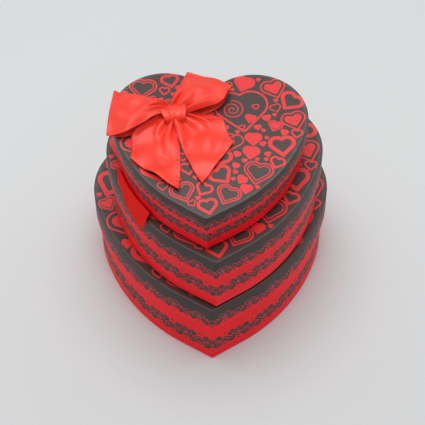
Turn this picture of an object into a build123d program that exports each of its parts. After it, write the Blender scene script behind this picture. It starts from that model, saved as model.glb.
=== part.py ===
from build123d import *
import os
from dataclasses import dataclass
from math import cos, radians, sin, sqrt, tan

# A set of three nesting heart-shaped gift boxes, stacked as they are shown for sale.
# Each box is a rigid greyboard tray and a lift-off greyboard lid, both wrapped in printed
# paper, and each lid carries a satin bow on a dot of glue. The bows of the two lower boxes
# are pressed flat by the box that stands on them.
# Millimetres, +Z up, tips of the hearts towards -Y, origin on the ground under the middle
# of the large lid.

# Sheet goods
PAPER = 0.25            # printed wrap and plain lining paper
GLUE = 0.05             # glue film between paper and board
FLOOR_BOARD = 1.8       # greyboard of the tray floor
WALL_BOARD = 1.8        # greyboard strip of the tray wall
LID_BOARD = 1.8         # greyboard of the lid top
SKIRT_BOARD = 1.8       # greyboard strip of the lid skirt
BOARD_FIT = 0.1         # gap between a plate and the strip bent round it
STRIP_SEAM = 0.4        # butt joint of a strip's two ends, at the cleft

# Fits between pieces that come apart
LID_FIT = 0.5           # gap per side between lid skirt and tray wall
LID_SEAT = 0.1          # lid lining over the tray rim
STACK_SEAT = 0.1        # tray over the pressed bow below it

# Paper turned over the edges of the board
RIM_TURN_IN = 14.0      # tray wrap, down the inside of the wall
UNDER_TURN_IN = 10.0    # tray wrap, under the floor
SKIRT_TURN_IN = 10.0    # skirt wrap, up the inside of the skirt
TOP_TURN_DOWN = 8.0     # lid sheet, down the outside of the skirt
BOTTOM_REVEAL = 4.0     # bottom sheet, back from the tray's edge
LINING_DROP = 4.0       # wall lining, below the tray rim
SHEET_GAP = 0.3         # floor lining, in from the wall lining
LINING_REVEAL = 1.0     # lid lining, in from the skirt

# Form of the heart, the same on every box
CLEFT_ANGLE = 33.0      # from the lobe's centre up to the cleft, in degrees
SIDE_TO_LOBE = 2.9      # radius of the side over the radius of the lobe
SIDE_START = 15.0       # lobe turns into side, degrees below the widest point
SIDE_END = 59.0         # side turns into the straight run to the tip
TIP_ROUND = 4.5         # radius of the tip on the outside of the lid

# Satin ribbon and bow
RIBBON_WIDTH = 47.0     # the bow plans below are drawn in widths of the ribbon
RIBBON = 0.5            # thickness of the modelled ribbon
RIBBON_LIFT = 0.15      # tail over the lid, and loop over tail
PINCH = 9.0             # width of the ribbon where the knot gathers it
LOOP_FAN = 20.0         # from the gathered end of a loop to its fullest spread
TAIL_FAN = 29.0         # from the knot's centre to the fullest spread of a tail
TAIL_INNER = 2.0        # inner edge of a tail from its middle line, at the knot
KNOT_WIDTH = 18.0       # across the knot
KNOT_ROUND = 0.38       # edge radius over height of the knot
GLUE_DOT = 10.0         # diameter of the glue under the knot
GATHER_GAP = 0.15       # loop to knot
LOOP_END = 2.6          # radius of the fold at the end of a loop
LOOP_CROWN = 0.52       # highest point of a loop, as a share of its length


@dataclass(frozen=True)
class Loop:
    """Plan of one loop in ribbon widths, looking out from the knot square to its fold."""

    angle: float             # counter-clockwise from +X in degrees
    length: float            # from the knot's centre to the fold
    left: float              # ends of the fold, to the left of the line
    right: float             # and to the right of it, negative


@dataclass(frozen=True)
class Tail:
    """Plan of one tail in ribbon widths, looking out from the knot; its cut slants inwards."""

    angle: float             # counter-clockwise from +X in degrees
    inner_length: float
    inner_half: float        # inner corner of the cut from the middle line
    outer_length: float
    outer_half: float        # outer corner of the cut from the middle line
    bulge: float             # fullest spread of the outer edge
    outer_left: bool         # the outer edge is on the left


@dataclass(frozen=True)
class Bow:
    """Places and sizes of one bow."""

    knot_x: float            # knot from the middle of the lobes
    knot_y: float
    loop_rise: float         # top of the loops over the lid
    knot_rise: float         # top of the knot over the lid
    left_loop: Loop
    right_loop: Loop
    left_tail: Tail
    right_tail: Tail


@dataclass(frozen=True)
class BoxSize:
    """Outside sizes of one closed box and how loosely it stands on the one below."""

    name: str
    width: float             # of the lid
    height: float            # closed, without the bow
    lid_depth: float         # of the skirt
    shift_x: float           # sideways from the large box
    tip_back: float          # tip of the lid behind the tip of the lid below
    turn: float              # about +Z, in degrees
    bow: Bow


# Outside sizes of the closed boxes without their bows
LARGE_WIDTH = 220.0
LARGE_HEIGHT = 95.0
LARGE_LID_DEPTH = 35.0
MEDIUM_WIDTH = 194.0
MEDIUM_HEIGHT = 80.3
MEDIUM_LID_DEPTH = 30.0
SMALL_WIDTH = 171.6
SMALL_HEIGHT = 52.3
SMALL_LID_DEPTH = 21.5

# How far a bow rises over its lid
FREE_LOOP = 16.0         # loops of the topmost bow
FREE_KNOT = 12.0         # knot of the topmost bow
PRESSED_LOOP = 2.4       # loops squeezed under the next box
PRESSED_KNOT = 3.2       # knot squeezed under the next box

# How loosely the boxes stand on one another
MEDIUM_SHIFT = 3.8       # sideways from the large box
MEDIUM_TIP_BACK = -0.5   # tip behind the tip of the large lid
SMALL_SHIFT = -0.5       # sideways from the large box
SMALL_TIP_BACK = 8.7     # tip behind the tip of the medium lid
SMALL_TURN = -1.9        # about +Z, in degrees

# Where each knot sits on its lid, from the middle between the lobes' centres
LARGE_KNOT_X = -33.0
LARGE_KNOT_Y = -3.0
MEDIUM_KNOT_X = -34.0
MEDIUM_KNOT_Y = -3.0
SMALL_KNOT_X = -31.0
SMALL_KNOT_Y = -2.5

LARGE_BOW = Bow(
    LARGE_KNOT_X, LARGE_KNOT_Y, PRESSED_LOOP, PRESSED_KNOT,
    Loop(175.0, 1.0, 0.532, -0.404), Loop(60.0, 0.894, 0.128, -0.723),
    Tail(256.0, 1.553, 0.511, 1.106, 0.511, 0.574, False),
    Tail(306.0, 1.532, 0.426, 1.149, 0.532, 0.638, True))
MEDIUM_BOW = Bow(
    MEDIUM_KNOT_X, MEDIUM_KNOT_Y, PRESSED_LOOP, PRESSED_KNOT,
    Loop(176.0, 0.957, 0.532, -0.404), Loop(58.0, 0.851, 0.128, -0.723),
    Tail(232.0, 1.702, 0.521, 1.119, 0.543, 0.596, False),
    Tail(306.0, 1.489, 0.426, 1.128, 0.532, 0.638, True))
SMALL_BOW = Bow(
    SMALL_KNOT_X, SMALL_KNOT_Y, FREE_LOOP, FREE_KNOT,
    Loop(175.0, 1.128, 0.574, -0.372), Loop(71.0, 0.928, 0.053, -0.766),
    Tail(257.0, 1.538, 0.509, 1.087, 0.506, 0.591, False),
    Tail(306.7, 1.489, 0.417, 1.123, 0.540, 0.677, True))
LARGE = BoxSize("large", LARGE_WIDTH, LARGE_HEIGHT, LARGE_LID_DEPTH, 0.0, 0.0, 0.0, LARGE_BOW)
MEDIUM = BoxSize(
    "medium", MEDIUM_WIDTH, MEDIUM_HEIGHT, MEDIUM_LID_DEPTH, MEDIUM_SHIFT, MEDIUM_TIP_BACK, 0.0, MEDIUM_BOW)
SMALL = BoxSize(
    "small", SMALL_WIDTH, SMALL_HEIGHT, SMALL_LID_DEPTH, SMALL_SHIFT, SMALL_TIP_BACK, SMALL_TURN, SMALL_BOW)
STACK = (LARGE, MEDIUM, SMALL)

# Layers of the lid skirt and the tray wall, as distances in from the outside of the lid
TURN_DOWN_OUT = PAPER + GLUE
SKIRT_OUT = TURN_DOWN_OUT + PAPER + GLUE
SKIRT_IN = SKIRT_OUT + SKIRT_BOARD
SKIRT_PAPER_IN = SKIRT_IN + GLUE + PAPER
TRAY_OUT = SKIRT_PAPER_IN + LID_FIT
WALL_OUT = TRAY_OUT + PAPER + GLUE
WALL_IN = WALL_OUT + WALL_BOARD
RIM_PAPER_IN = WALL_IN + GLUE + PAPER
LINING_OUT = RIM_PAPER_IN + GLUE
LINING_IN = LINING_OUT + PAPER

# Levels from the ground under a tray, and down from the top of a lid
UNDER_PAPER = PAPER + GLUE
BOARD_FOOT = UNDER_PAPER + PAPER + GLUE
FLOOR_TOP = BOARD_FOOT + FLOOR_BOARD
LID_BOARD_DROP = PAPER + GLUE
LID_LINING_DROP = LID_BOARD_DROP + LID_BOARD + GLUE
LID_CEILING_DROP = LID_LINING_DROP + PAPER


def lobe_radius(width):
    """Radius of a lobe, so that two lobes meeting at the cleft span the width."""
    return width / 2 / (1 + cos(radians(CLEFT_ANGLE)))


def sharp_tip(width):
    """Height of the point where the two straight runs would meet, below the lobes' centres."""
    lobe = lobe_radius(width)
    side = SIDE_TO_LOBE * lobe
    centre_x = width / 2 - lobe - (side - lobe) * cos(radians(SIDE_START))
    centre_y = (side - lobe) * sin(radians(SIDE_START))
    end_x = centre_x + side * cos(radians(SIDE_END))
    end_y = centre_y - side * sin(radians(SIDE_END))
    return end_y - end_x / tan(radians(SIDE_END))


def tip_level(width):
    """Lowest Y of the rounded tip of a lid."""
    return sharp_tip(width) + TIP_ROUND * (1 / sin(radians(SIDE_END)) - 1)


def heart(width, inset=0.0):
    """A heart face: two lobes, two sides and two straight runs to a rounded tip, set in evenly."""
    outer_lobe = lobe_radius(width)
    outer_side = SIDE_TO_LOBE * outer_lobe
    lobe, side = outer_lobe - inset, outer_side - inset
    lobe_x = width / 2 - outer_lobe
    side_x = lobe_x - (outer_side - outer_lobe) * cos(radians(SIDE_START))
    side_y = (outer_side - outer_lobe) * sin(radians(SIDE_START))
    tip_round = max(TIP_ROUND - inset, PAPER)
    tip_y = sharp_tip(width) + inset / sin(radians(SIDE_END))
    run = tip_round / tan(radians(SIDE_END))

    def on_lobe(degrees):
        return lobe_x + lobe * cos(radians(degrees)), lobe * sin(radians(degrees))

    def on_side(degrees):
        return side_x + side * cos(radians(degrees)), side_y - side * sin(radians(degrees))

    crease = sqrt(outer_lobe ** 2 - lobe_x ** 2)
    cleft = (0.0, crease - inset)
    lobe_start = on_lobe(180 - CLEFT_ANGLE)
    tip_start = (run * sin(radians(SIDE_END)), tip_y + run * cos(radians(SIDE_END)))
    tip = (0.0, tip_y + tip_round * (1 / sin(radians(SIDE_END)) - 1))
    half = [
        ThreePointArc(lobe_start, on_lobe((180 - CLEFT_ANGLE - SIDE_START) / 2), on_lobe(-SIDE_START)),
        ThreePointArc(on_lobe(-SIDE_START), on_side((SIDE_START + SIDE_END) / 2), on_side(SIDE_END)),
        Line(on_side(SIDE_END), tip_start),
    ]
    joins = [ThreePointArc(tip_start, tip, (-tip_start[0], tip_start[1]))]
    if inset > 0:
        joins.append(ThreePointArc(lobe_start, cleft, (-lobe_start[0], lobe_start[1])))
    return make_face(half + joins + [mirror(edge, Plane.YZ) for edge in half])


def plate(width, inset, low, high):
    """A heart plate between two levels."""
    return Pos(0, 0, low) * extrude(heart(width, inset), high - low)


def ring(width, out, inner, low, high):
    """A heart ring between two levels, from one inset to a deeper one."""
    return plate(width, out, low, high) - plate(width, inner, low, high)


def strip(width, out, inner, low, high):
    """A board strip bent into a heart, its ends butted at the cleft."""
    seam = Pos(0, width / 2, (low + high) / 2) * Box(STRIP_SEAM, width, 2 * (high - low))
    return ring(width, out, inner, low, high) - seam


def tray_height(box):
    """Height of the tray, up to the lid lining that rests on its rim."""
    return box.height - LID_CEILING_DROP - LID_SEAT


def tray_wrap(box):
    """Printed paper round the tray wall, over the rim and under the floor."""
    rim = tray_height(box)
    outside = plate(box.width, TRAY_OUT, UNDER_PAPER, rim)
    wall_room = ring(box.width, TRAY_OUT + PAPER, WALL_IN + GLUE, UNDER_PAPER + PAPER, rim - PAPER)
    inside = plate(box.width, RIM_PAPER_IN, UNDER_PAPER + PAPER, rim)
    below_turn_in = plate(box.width, TRAY_OUT + PAPER, UNDER_PAPER + PAPER, rim - RIM_TURN_IN)
    under = plate(box.width, TRAY_OUT + UNDER_TURN_IN, UNDER_PAPER, UNDER_PAPER + PAPER)
    return outside - wall_room - inside - below_turn_in - under


def skirt_wrap(box):
    """Printed paper round the lid skirt, turned in over its lower edge."""
    foot = box.height - box.lid_depth
    outside = plate(box.width, 0, foot, box.height)
    board_room = plate(box.width, PAPER, foot + PAPER, box.height)
    mouth = plate(box.width, SKIRT_PAPER_IN, foot, foot + PAPER)
    turn_in = ring(box.width, SKIRT_IN + GLUE, SKIRT_PAPER_IN, foot, foot + SKIRT_TURN_IN)
    return outside - board_room - mouth + turn_in


def lid_sheet(box):
    """Printed sheet over the lid top, turned down over the skirt under the skirt wrap."""
    top = plate(box.width, TURN_DOWN_OUT, box.height - PAPER, box.height)
    edge = ring(box.width, TURN_DOWN_OUT, TURN_DOWN_OUT + PAPER, box.height - TOP_TURN_DOWN, box.height)
    return top + edge


def tray_pieces(box):
    """The pieces of one tray."""
    rim = tray_height(box)
    board_top = rim - PAPER - GLUE
    lining_top = rim - LINING_DROP
    floor_lining = FLOOR_TOP + GLUE
    return {
        "bottom_sheet": plate(box.width, TRAY_OUT + BOTTOM_REVEAL, 0, PAPER),
        "floor_board": plate(box.width, WALL_IN + BOARD_FIT, BOARD_FOOT, FLOOR_TOP),
        "wall_board": strip(box.width, WALL_OUT, WALL_IN, BOARD_FOOT, board_top),
        "tray_wrap": tray_wrap(box),
        "wall_lining": ring(box.width, LINING_OUT, LINING_IN, floor_lining, lining_top),
        "floor_lining": plate(box.width, LINING_IN + SHEET_GAP, floor_lining, floor_lining + PAPER),
    }


def lid_pieces(box):
    """The pieces of one lid without its bow."""
    foot = box.height - box.lid_depth
    board_top = box.height - LID_BOARD_DROP
    ceiling = box.height - LID_CEILING_DROP
    return {
        "lid_board": plate(box.width, SKIRT_IN + BOARD_FIT, board_top - LID_BOARD, board_top),
        "skirt_board": strip(box.width, SKIRT_OUT, SKIRT_IN, foot + PAPER + GLUE, board_top),
        "lid_sheet": lid_sheet(box),
        "skirt_wrap": skirt_wrap(box),
        "lid_lining": plate(box.width, SKIRT_IN + LINING_REVEAL, ceiling, ceiling + PAPER),
    }


def loop_side(length, rise, inset):
    """Side view of a loop, set in evenly: out over the lid, round the fold and back to the knot."""
    start = KNOT_WIDTH / 2 + GATHER_GAP
    low = 2 * RIBBON_LIFT + RIBBON
    fold = min(LOOP_END, (rise - low) / 2)
    end = length - fold
    foot = (start + inset, low + inset)
    if rise > low + 2 * fold:
        crown = start + (end - start) * LOOP_CROWN
        mouth_top = low + (rise - low) * LOOP_CROWN
        arch = ThreePointArc((end, low + 2 * fold), (crown, rise), (start, mouth_top))
        x, y, radius = arch.arc_center.X, arch.arc_center.Y, arch.radius - inset
        across, down = x - end, y - low - fold
        apart = sqrt(across ** 2 + down ** 2)
        reach = ((fold - inset) ** 2 - radius ** 2 + apart ** 2) / (2 * apart)
        aside = sqrt((fold - inset) ** 2 - reach ** 2)
        back = (end + (reach * across + aside * down) / apart,
                low + fold + (reach * down - aside * across) / apart)
        share = radius / arch.radius
        mouth = (start + inset, y + sqrt(radius ** 2 - (start + inset - x) ** 2))
        top = ThreePointArc(back, (x + share * (crown - x), y + share * (rise - y)), mouth)
    else:
        back, mouth = (end, rise - inset), (start + inset, rise - inset)
        top = Line(back, mouth)
    bottom = Line(foot, (end, low + inset))
    return make_face([
        bottom, ThreePointArc(bottom @ 1, (length - inset, low + fold), back), top, Line(mouth, foot)])


def bow_loop(loop, rise):
    """A ribbon folded back on itself along +X, gathered at the knot and spread to its fold."""
    length, left_end, right_end = (RIBBON_WIDTH * v for v in (loop.length, loop.left, loop.right))
    start = KNOT_WIDTH / 2 + GATHER_GAP
    band = loop_side(length, rise, 0.0) - loop_side(length, rise, RIBBON)
    side_view = extrude(Plane.XZ * band, 2 * max(left_end, -right_end), both=True)
    full = start + LOOP_FAN
    left = [(start, PINCH / 2), (full, left_end), (length, left_end)]
    right = [(start, -PINCH / 2), (full, right_end), (length, right_end)]
    flat_edge = left if left_end < -right_end else right
    flat_edge.pop(1)
    plan = make_face(Polyline(*left, *reversed(right), close=True))
    return side_view & extrude(plan, rise)


def bow_tail(tail):
    """A flat ribbon end along +X that fans out of the knot to a slanting cut."""
    start = KNOT_WIDTH / 2 - PINCH / 4
    outer_corner = (RIBBON_WIDTH * tail.outer_length, RIBBON_WIDTH * tail.outer_half)
    inner_corner = (RIBBON_WIDTH * tail.inner_length, -RIBBON_WIDTH * tail.inner_half)
    outer = [(start, PINCH / 2), (TAIL_FAN, RIBBON_WIDTH * tail.bulge), outer_corner]
    inner = [inner_corner, (start, -TAIL_INNER)]
    plan = make_face(Polyline(*outer, *inner, close=True))
    flat = Pos(0, 0, RIBBON_LIFT) * extrude(plan, RIBBON)
    return flat if tail.outer_left else mirror(flat, Plane.XZ)


def bow_knot(rise):
    """The band of ribbon round the gathers, a rounded roll."""
    low = 2 * RIBBON_LIFT + RIBBON
    height = rise - low
    roll = Pos(0, 0, low + height / 2) * Cylinder(KNOT_WIDTH / 2, height)
    return fillet(roll.edges().filter_by(GeomType.CIRCLE), KNOT_ROUND * height)


def bow_pieces(bow):
    """The pieces of one bow, on a lid whose top is at Z = 0 and whose lobes' centres are at Y = 0."""
    pieces = {
        "bow_left_loop": Rot(0, 0, bow.left_loop.angle) * bow_loop(bow.left_loop, bow.loop_rise),
        "bow_right_loop": Rot(0, 0, bow.right_loop.angle) * bow_loop(bow.right_loop, bow.loop_rise),
        "bow_knot": bow_knot(bow.knot_rise),
        "bow_left_tail": Rot(0, 0, bow.left_tail.angle) * bow_tail(bow.left_tail),
        "bow_right_tail": Rot(0, 0, bow.right_tail.angle) * bow_tail(bow.right_tail),
        "bow_glue_dot": Cylinder(
            GLUE_DOT / 2, RIBBON + RIBBON_LIFT, align=(Align.CENTER, Align.CENTER, Align.MIN)),
    }
    return {name: Pos(bow.knot_x, bow.knot_y, 0) * piece for name, piece in pieces.items()}


def stack_places(stack):
    """Where each box stands: its ground level, the middle of its lobes and its turn."""
    lowest = stack[0]
    middle = -(lobe_radius(lowest.width) + tip_level(lowest.width)) / 2
    ground, tip = 0.0, middle + tip_level(lowest.width)
    places = {}
    for box in stack:
        tip += box.tip_back
        places[box.name] = Pos(box.shift_x, tip - tip_level(box.width), ground) * Rot(0, 0, box.turn)
        ground += box.height + box.bow.knot_rise + STACK_SEAT
    return places


def main():
    """Builds every piece of every box where it stands and writes one file for each."""
    os.makedirs("parts", exist_ok=True)
    places = stack_places(STACK)
    for box in STACK:
        place = places[box.name]
        pieces = tray_pieces(box) | lid_pieces(box)
        pieces |= {name: Pos(0, 0, box.height) * piece for name, piece in bow_pieces(box.bow).items()}
        for name, piece in pieces.items():
            export_step(place * piece, f"parts/{box.name}_{name}.step")


main()
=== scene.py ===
"""Looks of a stack of three nesting heart-shaped gift boxes with lift-off lids and satin bows.

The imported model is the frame. The printed papers and the bows are surfaces worked out here, in
millimetres on each box, and placed on the frame. Boards, linings and glue stay the frame's own
nodes and get their finishes here.
"""
from __future__ import annotations

import logging
import math
from dataclasses import dataclass, field
from enum import Enum

import bmesh
import bpy
import numpy as np
from mathutils import Euler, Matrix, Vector

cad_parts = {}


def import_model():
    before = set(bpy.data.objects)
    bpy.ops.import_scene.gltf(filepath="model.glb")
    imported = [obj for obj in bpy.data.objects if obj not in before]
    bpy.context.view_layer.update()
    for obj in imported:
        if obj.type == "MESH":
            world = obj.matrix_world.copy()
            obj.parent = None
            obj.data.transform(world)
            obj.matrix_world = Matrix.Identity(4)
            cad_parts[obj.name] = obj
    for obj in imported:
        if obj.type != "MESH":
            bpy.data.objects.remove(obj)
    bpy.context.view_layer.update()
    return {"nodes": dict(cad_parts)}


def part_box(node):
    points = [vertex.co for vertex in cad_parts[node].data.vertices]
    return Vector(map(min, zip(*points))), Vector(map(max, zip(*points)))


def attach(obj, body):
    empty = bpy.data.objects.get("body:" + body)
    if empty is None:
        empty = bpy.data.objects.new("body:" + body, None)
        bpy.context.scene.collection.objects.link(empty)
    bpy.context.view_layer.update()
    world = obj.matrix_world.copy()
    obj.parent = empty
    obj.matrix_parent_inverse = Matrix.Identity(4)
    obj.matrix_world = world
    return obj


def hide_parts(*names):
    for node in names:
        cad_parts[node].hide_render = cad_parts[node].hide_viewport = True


LOG = logging.getLogger("heart_boxes")
MM = 0.001
PHOTO_SIDE_PX = 425
SENSOR_MM = 36.0
# Points closer than this are one point at a seam, and shorter edges than the next are taken out.
WELD_MM = 0.004
SLIVER_MM = 0.001
# Only the edge of the ink matters, so distances to it are kept within this.
MOST_INK_MM = 3.0
# Stands for no ink anywhere near.
FAR_MM = 1e3
# A lace band's repeat, and how far over its middle the skirt's print is all dark, over its height.
LACE_REPEAT = 1.35
DARK_FROM = 0.1
# A wave texture turns by this many radians over one unit of its scale.
WAVE_TURN = 20.0
Grid = np.ndarray


def ease(low: float, high: float, value: Grid) -> Grid:
    """Cubic step: 0 up to low, 1 from high on, and a smooth rise between.

    Args:
        low: Value where the rise starts.
        high: Value where the rise ends.
        value: Values to step.

    Returns:
        The stepped values.
    """
    share = np.clip((value - low) / (high - low), 0.0, 1.0)
    return share * share * (3.0 - 2.0 * share)


def linear(colour: str) -> tuple[float, float, float, float]:
    """Turns an sRGB hex colour into a linear one.

    Args:
        colour: Six hex digits after a hash.

    Returns:
        Red, green, blue and alpha.
    """
    parts = np.array([int(colour[i:i + 2], 16) / 255.0 for i in (1, 3, 5)])
    light = np.where(parts <= 0.04045, parts / 12.92, ((parts + 0.055) / 1.055) ** 2.4)
    return (*light.tolist(), 1.0)


def quads(rows: int, columns: int, closed_rows: bool = False, closed_columns: bool = False) -> Grid:
    """Corner numbers of the quads of a grid of points.

    Args:
        rows: Points down the grid.
        columns: Points across the grid.
        closed_rows: The last row joins the first.
        closed_columns: The last column joins the first.

    Returns:
        One row of four corner numbers for each quad.
    """
    down = np.arange(rows if closed_rows else rows - 1)
    across = np.arange(columns if closed_columns else columns - 1)
    row, column = (part.ravel() for part in np.meshgrid(down, across, indexing="ij"))
    below, right = (row + 1) % rows, (column + 1) % columns
    return np.stack([row * columns + column, row * columns + right,
                     below * columns + right, below * columns + column], axis=1)


@dataclass
class SurfacePiece:
    """A surface on a grid with its attributes, made into one Blender object.

    Attributes:
        name: Name of the object.
        points: Rows by columns by three, in millimetres in the frame.
        closed_rows: The last row joins the first.
        closed_columns: The last column joins the first.
        values: Named numbers for each point, rows by columns.
        lengths: Distances along and across the surface for its map, rows by columns by two.
        flip: The grid runs clockwise seen from outside, so its faces are turned over.
    """

    name: str
    points: Grid
    closed_rows: bool = False
    closed_columns: bool = False
    values: dict[str, Grid] = field(default_factory=dict)
    lengths: Grid | None = None
    flip: bool = False

    def build(self) -> bpy.types.Object:
        """Puts the surface into a mesh, welds its seams and links it.

        Returns:
            The linked object.
        """
        rows, columns = self.points.shape[:2]
        faces = quads(rows, columns, self.closed_rows, self.closed_columns)
        faces = faces[:, ::-1] if self.flip else faces
        mesh = bpy.data.meshes.new(self.name)
        mesh.from_pydata((self.points.reshape(-1, 3) * MM).tolist(), [], faces.tolist())
        for name, numbers in self.values.items():
            layer = mesh.attributes.new(name, "FLOAT", "POINT")
            layer.data.foreach_set("value", np.ascontiguousarray(numbers, np.float32).ravel())
        if self.lengths is not None:
            layer = mesh.uv_layers.new(name="ribbon")
            corners = self.lengths.reshape(-1, 2)[faces.ravel()]
            layer.data.foreach_set("uv", corners.astype(np.float32).ravel())
        self.weld(mesh)
        mesh.shade_smooth()
        piece = bpy.data.objects.new(self.name, mesh)
        bpy.context.collection.objects.link(piece)
        return piece

    @staticmethod
    def weld(mesh: bpy.types.Mesh) -> None:
        """Merges the points that coincide at a seam or a pole of the grid.

        Args:
            mesh: The mesh to weld.
        """
        work = bmesh.new()
        work.from_mesh(mesh)
        bmesh.ops.remove_doubles(work, verts=work.verts, dist=WELD_MM * MM)
        bmesh.ops.dissolve_degenerate(work, dist=SLIVER_MM * MM, edges=work.edges)
        work.to_mesh(mesh)
        work.free()


@dataclass(frozen=True)
class HeartOutline:
    """The outline of a lid: round lobes, fuller sides, straight runs and a rounded tip.

    The middle of the lobes is at the origin and the tip points to -Y. Every stretch is an arc or a
    line, so a point set in by a depth is the outer point less the depth times its outward normal.

    Attributes:
        width: Width over the lobes.
        cleft_angle: Angle of the lobes' arcs at the cleft, in degrees.
        side_to_lobe: Radius of a side over the radius of a lobe.
        side_start: How far below the lobes' middle a side's arc starts, in degrees.
        side_end: Where a side's arc ends in its straight run, in degrees.
        tip_round: Radius of the tip.
        cleft_round: Radius in the cleft.
        fewest: Fewest steps on an arc.
    """

    width: float
    cleft_angle: float = 33.0
    side_to_lobe: float = 2.9
    side_start: float = 15.0
    side_end: float = 59.0
    tip_round: float = 4.5
    cleft_round: float = 0.4
    fewest: int = 6

    def half(self, step: float) -> tuple[Grid, Grid, Grid]:
        """Points of the right half from the cleft to the tip.

        Args:
            step: Spacing of the points in millimetres.

        Returns:
            Points, outward normals and the running length.
        """
        lobe = self.width / 2 / (1 + math.cos(math.radians(self.cleft_angle)))
        lobe_x = self.width / 2 - lobe
        side = self.side_to_lobe * lobe
        start, end = math.radians(self.side_start), math.radians(self.side_end)
        side_x = lobe_x - (side - lobe) * math.cos(start)
        side_y = (side - lobe) * math.sin(start)
        run_x, run_y = side_x + side * math.cos(end), side_y - side * math.sin(end)
        tip_y = run_y - run_x / math.tan(end) + self.tip_round / math.sin(end)
        crease_y = math.sqrt((lobe + self.cleft_round) ** 2 - lobe_x ** 2)
        lean = math.atan2(crease_y, lobe_x)
        arcs = (
            (0.0, crease_y, self.cleft_round, -math.pi / 2, -lean, -1.0),
            (lobe_x, 0.0, lobe, math.pi - lean, -start, 1.0),
            (side_x, side_y, side, -start, -end, 1.0),
            (0.0, tip_y, self.tip_round, -end, -math.pi / 2, 1.0),
        )
        points, normals = [], []
        for x, y, radius, first, last, outward in arcs:
            count = max(self.fewest, math.ceil(radius * abs(last - first) / step))
            angle = np.linspace(first, last, count + 1)
            ray = np.stack([np.cos(angle), np.sin(angle)], axis=1)
            points.append(np.array([x, y]) + radius * ray)
            normals.append(outward * ray)
        run_start, run_end = points[2][-1], points[3][0]
        line = np.linspace(run_start, run_end, math.ceil(np.hypot(*(run_end - run_start)) / step))
        points.insert(3, line[1:-1])
        normals.insert(3, np.repeat(normals[2][-1:], len(line) - 2, axis=0))
        points = [part[1:] if i in (1, 2) else part for i, part in enumerate(points)]
        normals = [part[1:] if i in (1, 2) else part for i, part in enumerate(normals)]
        outline, outward = np.concatenate(points), np.concatenate(normals)
        run = np.concatenate([[0.0], np.cumsum(np.hypot(*np.diff(outline, axis=0).T))])
        return outline, outward, run

    def loop(self, step: float) -> tuple[Grid, Grid, Grid]:
        """The whole outline from the cleft round the right side, the tip and the left side.

        Args:
            step: Spacing of the points in millimetres.

        Returns:
            Points, outward normals and the running length.
        """
        points, normals, run = self.half(step)
        mirror = np.array([-1.0, 1.0])
        back = slice(-2, 0, -1)
        return (np.concatenate([points, points[back] * mirror]),
                np.concatenate([normals, normals[back] * mirror]),
                np.concatenate([run, 2 * run[-1] - run[back]]))


def set_in(points: Grid, normals: Grid, depth: Grid) -> Grid:
    """Sets an outline in by each of several depths, kept on its own side of the middle.

    Args:
        points: Outline points.
        normals: Their outward normals.
        depth: Depths in millimetres.

    Returns:
        Depths by points by two.
    """
    moved = points[None] - depth[:, None, None] * normals[None]
    side = np.sign(points[None, :, 0])
    moved[..., 0] = side * np.maximum(side * moved[..., 0], 0.0)
    return moved


def heart_distance(x: Grid, y: Grid, width: float | Grid, tilt: float | Grid = 0.0) -> Grid:
    """Signed distance to a drawn heart, negative inside.

    The heart is a square on its corner with a half disc on each upper side, as one exact distance,
    and it is swollen a little so that its tip and sides are soft. It is worked out for a square
    from (0, 0) to (0, 1) and scaled.

    Args:
        x: Places across, from the heart's middle.
        y: Places up, from the heart's middle.
        width: Width of the heart.
        tilt: Turn in radians.

    Returns:
        Distances in the units of the places.
    """
    swell, unit_width, middle_height = 0.07, 1.207, 0.52
    disc_x, disc_y, disc = 0.25, 0.75, math.sqrt(2) / 4
    scale = width / (unit_width + 2 * swell)
    along = np.abs(np.cos(tilt) * x + np.sin(tilt) * y) / scale
    up = (np.cos(tilt) * y - np.sin(tilt) * x) / scale + middle_height
    top = np.hypot(along - disc_x, up - disc_y) - disc
    slide = 0.5 * np.maximum(along + up, 0.0)
    near = np.minimum(along ** 2 + (up - 1.0) ** 2, (along - slide) ** 2 + (up - slide) ** 2)
    low = np.sqrt(near) * np.sign(along - up)
    return (np.where(along + up > 1.0, top, low) - swell) * scale


class HeartStyle(Enum):
    """How a printed heart is drawn."""

    SOLID = "solid"
    BOLD = "bold outline"
    FINE = "fine outline"
    DOUBLE = "two fine outlines"
    CORED = "solid in a fine outline"


@dataclass(frozen=True)
class PrintedHeart:
    """One heart of the lid print, in millimetres on the small lid.

    Attributes:
        x: Place of its middle across the lid.
        y: Place of its middle along the lid.
        width: Width of the heart.
        tilt: Turn in radians.
        style: How it is drawn.
        bold: Half a bold outline over the heart's width.
        fine_mm: Half a fine outline on the smallest heart.
        fine: What a fine outline gains for each millimetre of width.
        core: Depth of a solid core over the heart's width.
        second: Depth of the second outline over the heart's width.
        second_weight: Weight of the second outline over the first.
    """

    x: float
    y: float
    width: float
    tilt: float
    style: HeartStyle
    bold: float = 0.074
    fine_mm: float = 0.46
    fine: float = 0.009
    core: float = 0.15
    second: float = 0.13
    second_weight: float = 0.75

    def ink(self, x: Grid, y: Grid) -> Grid:
        """Signed distance to the heart's ink at the given places.

        Args:
            x: Places across the lid.
            y: Places along the lid.

        Returns:
            Distances, negative where there is ink.
        """
        outside = heart_distance(x - self.x, y - self.y, self.width, self.tilt)
        if self.style is HeartStyle.SOLID:
            return outside
        if self.style is HeartStyle.BOLD:
            line = self.bold * self.width
            return np.abs(outside + line) - line
        fine = self.fine_mm + self.fine * self.width
        first = np.abs(outside + fine) - fine
        if self.style is HeartStyle.FINE:
            return first
        if self.style is HeartStyle.CORED:
            return np.minimum(first, outside + self.core * self.width)
        second = np.abs(outside + self.second * self.width) - self.second_weight * fine
        return np.minimum(first, second)


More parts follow.
